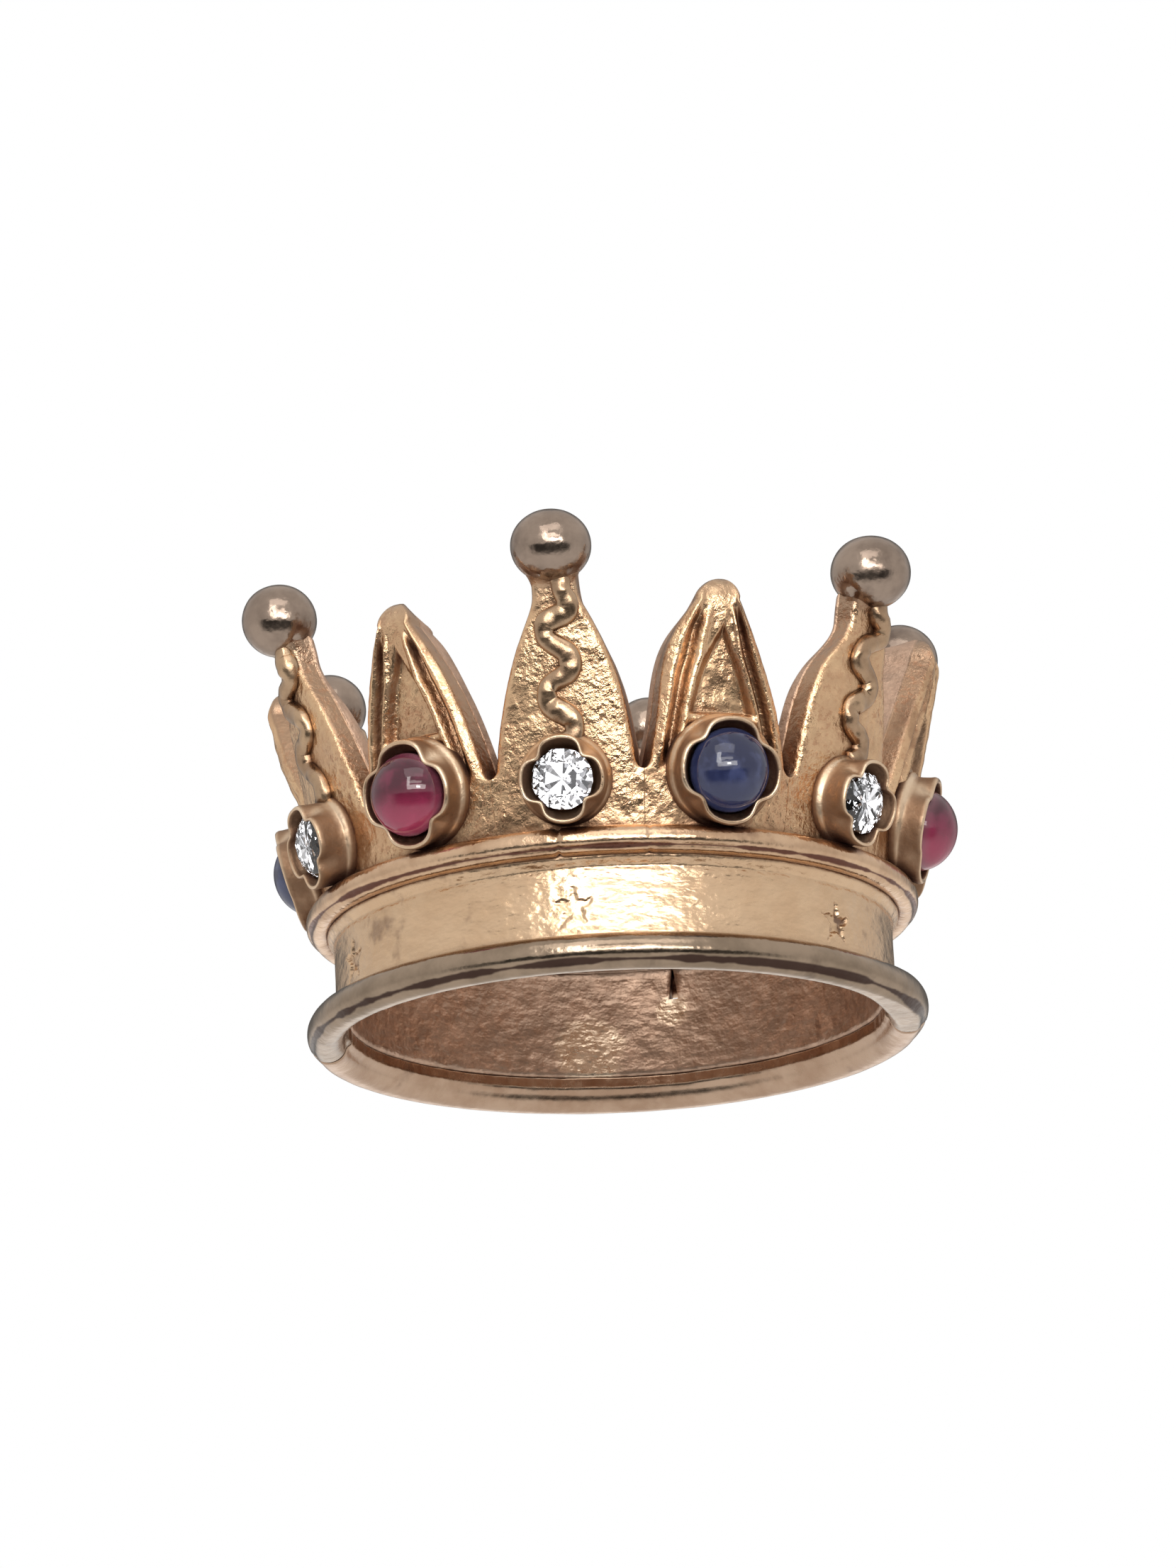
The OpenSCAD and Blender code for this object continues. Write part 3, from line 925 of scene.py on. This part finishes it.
def build_ball(i, material):
    """Polished ball, a little flattened and not quite even."""
    low, high = node_box(f"ball_finial_{i}")
    centre = (low + high) / 2
    rings, sides = 40, 64
    lat = np.linspace(0.02, math.pi - 0.02, rings)[:, None]
    lon = full_turn(sides)[None, :]
    unit = np.stack([np.sin(lat) * np.cos(lon), np.sin(lat) * np.sin(lon),
                     np.cos(lat) * np.ones_like(lon)], axis=-1)
    dent = grain(unit.reshape(-1, 3) + i * 3.7, 0.8).reshape(rings, sides)
    shape = np.array([BALL_WIDE[i], BALL_WIDE[i], BALL_TALL])
    ball = centre + unit * shape * (1 + 0.012 * dent)[..., None]
    make_tube(ball + stray("bell", i, centre[None, None, :]) - centre,
              f"ball_{i}", material, f"ball_finial_{i}")


def scroll_path(i, z):
    """Across position of a wavy wire's middle at each height; no two are bent alike."""
    rng = random.Random(40 + i)
    jitter = 0.0 if i == 1 else 0.12
    bends = [b + rng.uniform(-jitter, jitter) for b in SCROLL_BENDS]
    heights = [SCROLL_START + 0.3, bends[0] + 0.75] + bends
    swings = [0.12, 0.3] + [SCROLL_SWING * (-1) ** k * rng.uniform(0.9, 1.08)
                            for k in range(len(bends))]
    x = np.zeros_like(z)
    for upper, lower, start, end in zip(heights, heights[1:], swings, swings[1:]):
        within = (z <= upper) & (z > lower)
        share = (upper - z) / (upper - lower)
        share = share - 0.5 * np.sin(2 * math.pi * share) / (2 * math.pi)
        x = np.where(within, start + (end - start) * (1 - np.cos(math.pi * share)) / 2, x)
    return x


def build_scroll(i, material):
    """Wavy half-round wire laid on a ball point from the ball down to the setting."""
    turn = point_turn("bell", i)
    rng = random.Random(60 + i)
    z = np.linspace(SCROLL_START, SCROLL_END, 150)
    x = scroll_path(i, z)
    dx, dz = np.gradient(x), np.gradient(z)
    length = np.hypot(dx, dz)
    nx, nz = -dz / length, dx / length
    width = SCROLL_W / 2 * (1 + 0.1 * np.sin(z * 3.7 + rng.uniform(0, 6)))
    a = np.linspace(-0.15, math.pi + 0.15, 17)
    side = np.cos(a)[None, :] * width[:, None]
    worn = grain(np.stack([x, np.full_like(x, i * 5.0), z], axis=-1), 0.45, 17)
    arch = np.sign(np.sin(a)) * np.abs(np.sin(a)) ** 0.75
    proud = SCROLL_H.get(i, SCROLL_H_OTHERS) * (0.85 + 0.25 * worn + 0.3 * bump(13.9, 0.5, z))
    rise = arch[None, :] * proud[:, None]
    places = on_wall(turn, x[:, None] + side * nx[:, None], z[:, None] + side * nz[:, None],
                     rise + 0.005)
    under = on_wall(turn, x[:, None], z[:, None], np.full((len(z), 1), -0.12))
    make_tube(stray("bell", i, np.concatenate([places, under], axis=1)),
              f"wavy_wire_{i}", material, f"scroll_wire_{i}")


# ---------------- settings and stones

def quatrefoil(angle, reach, cusp):
    """Radius of a round opening pushed in at its four diagonals."""
    folded = np.abs((angle + math.pi / 4) % (math.pi / 2) - math.pi / 4)
    lobes = reach * (1 - 0.03 * (1 - np.cos(4 * angle)) / 2)
    return lobes - (lobes - cusp) * bump(math.pi / 4, 0.24, folded)


def circle(radius, angles, height):
    """Points round a setting's middle line."""
    return np.stack([radius * np.cos(angles), radius * np.sin(angles),
                     np.full(len(angles), height)], axis=-1)


def build_collet(name, seat, outer_r, stone_r, top, material, node, seed):
    """Drum whose rim is pushed in at four places to grip the stone."""
    rng = random.Random(seed)
    a = full_turn(112)
    spin = rng.uniform(-0.12, 0.12)
    rim = 0.11 * outer_r
    lobes = quatrefoil(a + spin, outer_r - rim, stone_r * rng.uniform(0.95, 1.0))
    uneven = (1 + 0.012 * np.sin(2 * a + rng.uniform(0, 6))
              + 0.008 * np.sin(5 * a + rng.uniform(0, 6)))
    outer_top = np.minimum(lobes + rim, outer_r) * uneven
    # height, share of the pinched outline, shrink from the outline, from outside to inside
    profile = [
        (-0.3, 0.0, -0.12), (0.0, 0.0, -0.12), (0.12, 0.0, -0.1), (0.2, 0.0, -0.02),
        (0.28, 0.03, 0.03), (top * 0.4, 0.15, 0.04), (top * 0.55, 0.4, 0.03),
        (top * 0.7, 0.72, 0.02), (top * 0.82, 0.95, 0.0), (top - 0.16, 1.0, 0.0),
        (top - 0.07, 1.0, 0.02), (top - 0.015, 1.0, rim * 0.3), (top, 1.0, rim * 0.5),
        (top - 0.01, 1.0, rim * 0.72), (top - 0.06, 1.0, rim * 0.92),
        (top - 0.16, 1.0, rim), (top - 0.28, 1.0, rim + 0.01),
    ]
    rings = [circle(outer_r * 0.985 * (1 - pinch) + outer_top * pinch - shrink, a, level)
             for level, pinch, shrink in profile]
    # the cup inside, from the pinched outline down to a round floor under the stone
    rings += [circle((outer_top - rim) * (1 - share) + (stone_r + 0.04) * share, a, level)
              for level, share in ((top * 0.62, 0.6), (0.48, 1.0), (STONE_SEAT, 1.0))]
    rings = np.array(rings + [circle(0.02, a, STONE_SEAT - 0.02)])
    wobble = 0.012 * grain(rings.reshape(-1, 3) + seed, 0.5).reshape(rings.shape[:2])
    rings[..., :2] *= (1 - np.abs(wobble) * 0.6)[..., None]
    make_tube(seat.place(rings), name, material, node)


def build_cabochon(name, seat, material, node, seed):
    """Smooth domed stone on a short foot."""
    rng = random.Random(seed)
    sides = 64
    dome_r = (CABOCHON_R ** 2 + DOME_H ** 2) / (2 * DOME_H)
    edge_angle = math.asin(min(1, CABOCHON_R / dome_r))
    profile = [(CABOCHON_R * 0.9, STONE_SEAT + 0.01), (CABOCHON_R, STONE_SEAT + 0.08),
               (CABOCHON_R * CABOCHON_FULL, DOME_FOOT - 0.1)]
    for t in np.linspace(0, 1, 22)[:-1]:
        lift = dome_r * math.cos(edge_angle * (1 - t)) - (dome_r - DOME_H)
        profile.append((dome_r * math.sin(edge_angle * (1 - t)) * CABOCHON_FULL,
                        DOME_FOOT + lift * 0.98))
    a = full_turn(sides)
    oval = 1 - 0.012 * (1 + np.cos(2 * a + rng.uniform(0, 6)))
    solid = Solid()
    start = solid.grid(seat.place(np.array([circle(r * oval, a, h) for r, h in profile])),
                       wrap_cols=True)
    solid.faces.append(tuple(range(start, start + sides)))
    apex = solid.add(seat.place([0, 0, DOME_FOOT + DOME_H * 0.98]))
    last = start + (len(profile) - 1) * sides
    solid.faces += [(last + c, last + (c + 1) % sides, apex) for c in range(sides)]
    solid.make(name, material, node)


def build_brilliant(name, seat, material, node, seed):
    """Round brilliant: table, stars, kites and girdle facets above, a shallow cone below."""
    spin = random.Random(seed).uniform(0, math.pi / 4)
    r = CLEAR_R * 1.03
    waist_h = GIRDLE_H - 0.05
    eighth = math.pi / 4
    solid = Solid()

    def ring(count, radius, height, offset=0.0):
        angles = full_turn(count) + spin + offset
        return solid.add(seat.place(circle(radius, angles, height)))

    table = ring(8, r * 0.54, GIRDLE_H + 0.34)
    middle = ring(8, r * 0.77, GIRDLE_H + 0.2, eighth / 2)
    girdle = ring(16, r, GIRDLE_H)
    waist = ring(16, r, waist_h)
    lower = ring(8, r * 0.5, waist_h - 0.17, eighth / 2)
    culet = solid.add(seat.place([0, 0, waist_h - 0.27]))
    solid.faces.append(tuple(range(table, table + 8)))
    for k in range(8):
        after, before = (k + 1) % 8, (k - 1) % 8
        g, g1, g2 = 2 * k, 2 * k + 1, (2 * k + 2) % 16
        solid.faces += [
            (table + k, table + after, middle + k),
            (table + k, middle + before, girdle + g, middle + k),
            (middle + k, girdle + g, girdle + g1),
            (middle + k, girdle + g1, girdle + g2),
            (culet, lower + before, waist + g, lower + k),
            (lower + k, waist + g, waist + g1),
            (lower + k, waist + g1, waist + g2),
        ]
    for k in range(16):
        after = (k + 1) % 16
        solid.faces.append((girdle + k, girdle + after, waist + after, waist + k))
    solid.make(name, material, node, flat=True, weld=0.0001)


def build_settings(materials):
    for i in range(1, POINTS + 1):
        seat = Seat("bell", i, CLEAR_Z)
        build_collet(f"clear_setting_{i}", seat, CLEAR_COLLET_R, CLEAR_R, CLEAR_COLLET_H,
                     materials["drum"], f"clear_collet_{i}", 60 + i)
        build_brilliant(f"brilliant_{i}", seat, materials["clear"], f"clear_stone_{i}", 70 + i)
        seat = Seat("lancet", i, CABOCHON_Z)
        colour = "blue" if i % 2 else "red"
        build_collet(f"cabochon_setting_{i}", seat, CABOCHON_COLLET_R, CABOCHON_R,
                     CABOCHON_COLLET_H, materials["drum"], f"cabochon_collet_{i}", 80 + i)
        seat.origin = seat.origin - seat.out * SUNK.get(("lancet", i), 0.0)
        build_cabochon(f"{colour}_dome_{i}", seat, materials[colour],
                       f"{colour}_cabochon_{i}", 90 + i)


# ---------------- camera, light and floor

# The photo was taken from below the crown's base, so the camera looks up at it
CAMERA_TURN = math.radians(7.8)
CAMERA_RISE = math.radians(-15.4)
CAMERA_ROLL = math.radians(-2.5)
CAMERA_DISTANCE = 0.4626
CAMERA_LENS = 280
CAMERA_AIM_RIGHT, CAMERA_AIM_HEIGHT = -0.0007, 0.01015


def camera_axes():
    """Unit vectors towards the camera, to its right and up, before it rolls."""
    c, s = math.cos(CAMERA_TURN), math.sin(CAMERA_TURN)
    level, rise = math.cos(CAMERA_RISE), math.sin(CAMERA_RISE)
    back = Vector((s * level, -c * level, rise))
    right = Vector((c, s, 0.0))
    return back, right, back.cross(right)


def make_camera():
    back, right, up = camera_axes()
    data = bpy.data.cameras.new("camera")
    data.lens = CAMERA_LENS
    data.clip_start, data.clip_end = 0.01, 10
    camera = bpy.data.objects.new("camera", data)
    bpy.context.scene.collection.objects.link(camera)
    aim = right * CAMERA_AIM_RIGHT + Vector((0, 0, CAMERA_AIM_HEIGHT))
    camera.location = aim + back * CAMERA_DISTANCE
    camera.rotation_mode = "QUATERNION"
    rolled_up = up * math.cos(CAMERA_ROLL) - right * math.sin(CAMERA_ROLL)
    rolled_right = rolled_up.cross(back)
    turn = [[rolled_right[k], rolled_up[k], back[k]] for k in range(3)]
    camera.rotation_quaternion = Matrix(turn).to_quaternion()
    bpy.context.scene.camera = camera


# Soft lights: degrees across and up from the camera, distance, size, power, colour
LIGHTS = {
    "window_bar": (6, 18, 0.62, (0.56, 0.13), 1.0, (1.0, 0.97, 0.93)),
    "window_core": (10, 18, 0.60, (0.12, 0.05), 0.3, (1.0, 0.98, 0.95)),
    "window_side": (-18, 34, 0.62, (0.10, 0.26), 0.4, (1.0, 0.98, 0.94)),
    "window_top": (3, 31, 0.62, (0.36, 0.07), 0.2, (1.0, 0.97, 0.93)),
    "skylight": (0, 60, 0.62, (0.5, 0.3), 0.5, (1.0, 0.97, 0.94)),
}


def softbox(name, across_deg, up_deg, distance, size, power, colour):
    """Rectangular light aimed at the crown, placed by angles from the camera's direction."""
    back, right, up = camera_axes()
    a, b = math.radians(across_deg), math.radians(up_deg)
    towards = (back * math.cos(a) + right * math.sin(a)) * math.cos(b) + up * math.sin(b)
    data = bpy.data.lights.new(name, "AREA")
    data.shape, data.size, data.size_y = "RECTANGLE", *size
    data.energy, data.color = power, colour
    light = bpy.data.objects.new(name, data)
    bpy.context.scene.collection.objects.link(light)
    light.location = Vector((0, 0, 0.008)) + towards * distance
    light.rotation_mode = "QUATERNION"
    light.rotation_quaternion = towards.to_track_quat("Z", "Y")
    light.visible_camera = False


def make_world():
    """White behind the crown, a dim room in front of it, and a dark place by the camera."""
    world = bpy.data.worlds.new("studio")
    bpy.context.scene.world = world
    world.use_nodes = True
    world.node_tree.nodes.clear()
    n = Nodes(world.node_tree)
    direction = n.new("ShaderNodeTexCoord").outputs["Generated"]
    back, _, up = camera_axes()
    down = Vector((0, 0, -1))

    def ramp(axis, low, high, to_low, to_high):
        """A change of light along a fixed direction in the room."""
        return n.span(n.vectors("DOT_PRODUCT", direction, axis), low, high, to_low, to_high)

    # the far side: dim above, bright below where the paper rises
    far = n.times(ramp(back, -1.0, -0.7, 1.0, 0.0), ramp(up, -0.5, -0.05, 1.0, -0.8))
    level = n.times(n.maths("ADD", 1.0, far), ramp(up, -0.2, 0.6, 0.58, 0.74))
    level = n.times(level, ramp(down, -0.1, 0.35, 1.0, 1.3))
    # the dark place, below and behind the camera
    by_camera = n.times(ramp(up, -0.72, -0.25, 0.0, 1.0), ramp(up, 0.0, 0.12, 1.0, 0.0))
    by_camera = n.times(by_camera, ramp(back, 0.2, 0.85, 0.0, 1.0))
    level = n.times(level, n.span(by_camera, 0.0, 1.0, 1.0, 0.08))
    # light that comes through the stones has bright and dark spots, to make them sparkle
    rays = n.new("ShaderNodeLightPath").outputs
    through = rays["Is Transmission Ray"]
    spots = n.new("ShaderNodeTexNoise", {"Scale": 1.8, "Vector": direction}).outputs["Fac"]
    glitter = n.times(n.span(spots, 0.42, 0.56, 0.2, 2.6), ramp(back, -0.3, 0.8, 0.3, 1.0))
    strength = n.maths("ADD", n.times(through, glitter),
                       n.times(n.maths("SUBTRACT", 1.0, through), level))
    studio = n.new("ShaderNodeBackground", {"Color": (1.0, 0.97, 0.94, 1), "Strength": strength})
    paper = n.new("ShaderNodeBackground", {"Color": (1, 1, 1, 1)})
    pick = n.new("ShaderNodeMixShader", {0: rays["Is Camera Ray"], 1: studio.outputs[0],
                                         2: paper.outputs[0]})
    n.new("ShaderNodeOutputWorld", {"Surface": pick.outputs[0]})


def make_floor():
    """Pale floor that only shows from above, as the camera is below it."""
    mesh = bpy.data.meshes.new("floor")
    r = 1.2
    mesh.from_pydata([(-r, -r, 0), (r, -r, 0), (r, r, 0), (-r, r, 0)], [], [(0, 1, 2, 3)])
    floor = bpy.data.objects.new("floor", mesh)
    bpy.context.scene.collection.objects.link(floor)
    n = Paint("pale_floor")
    speckle = n.mix(n.noise(3.0, detail=2.0), (0.86, 0.86, 0.86), (0.9, 0.9, 0.9))
    mesh.materials.append(n.shade({"Base Color": speckle, "Roughness": 0.9}))
    mixer = n.new("ShaderNodeMixShader", {
        0: n.new("ShaderNodeNewGeometry").outputs["Backfacing"], 1: n.shader.outputs[0],
        2: n.new("ShaderNodeBsdfTransparent").outputs[0]})
    output = next(node for node in n.tree.nodes if node.type == "OUTPUT_MATERIAL")
    n.feed(output.inputs["Surface"], mixer.outputs[0])
    floor.location.z = -0.02 * MM
    floor.visible_shadow = False
    floor.visible_glossy = False
    floor.visible_transmission = False


# ---------------- put it together

bpy.context.scene.view_settings.view_transform = "Standard"
make_camera()
for light in LIGHTS:
    softbox(light, *LIGHTS[light])
make_world()
make_floor()
materials = make_materials()
build_wall(materials)
build_band(materials)
build_rims(materials)
for number in range(1, POINTS + 1):
    build_ball(number, materials["ball"])
    build_scroll(number, materials["wire"])
build_settings(materials)
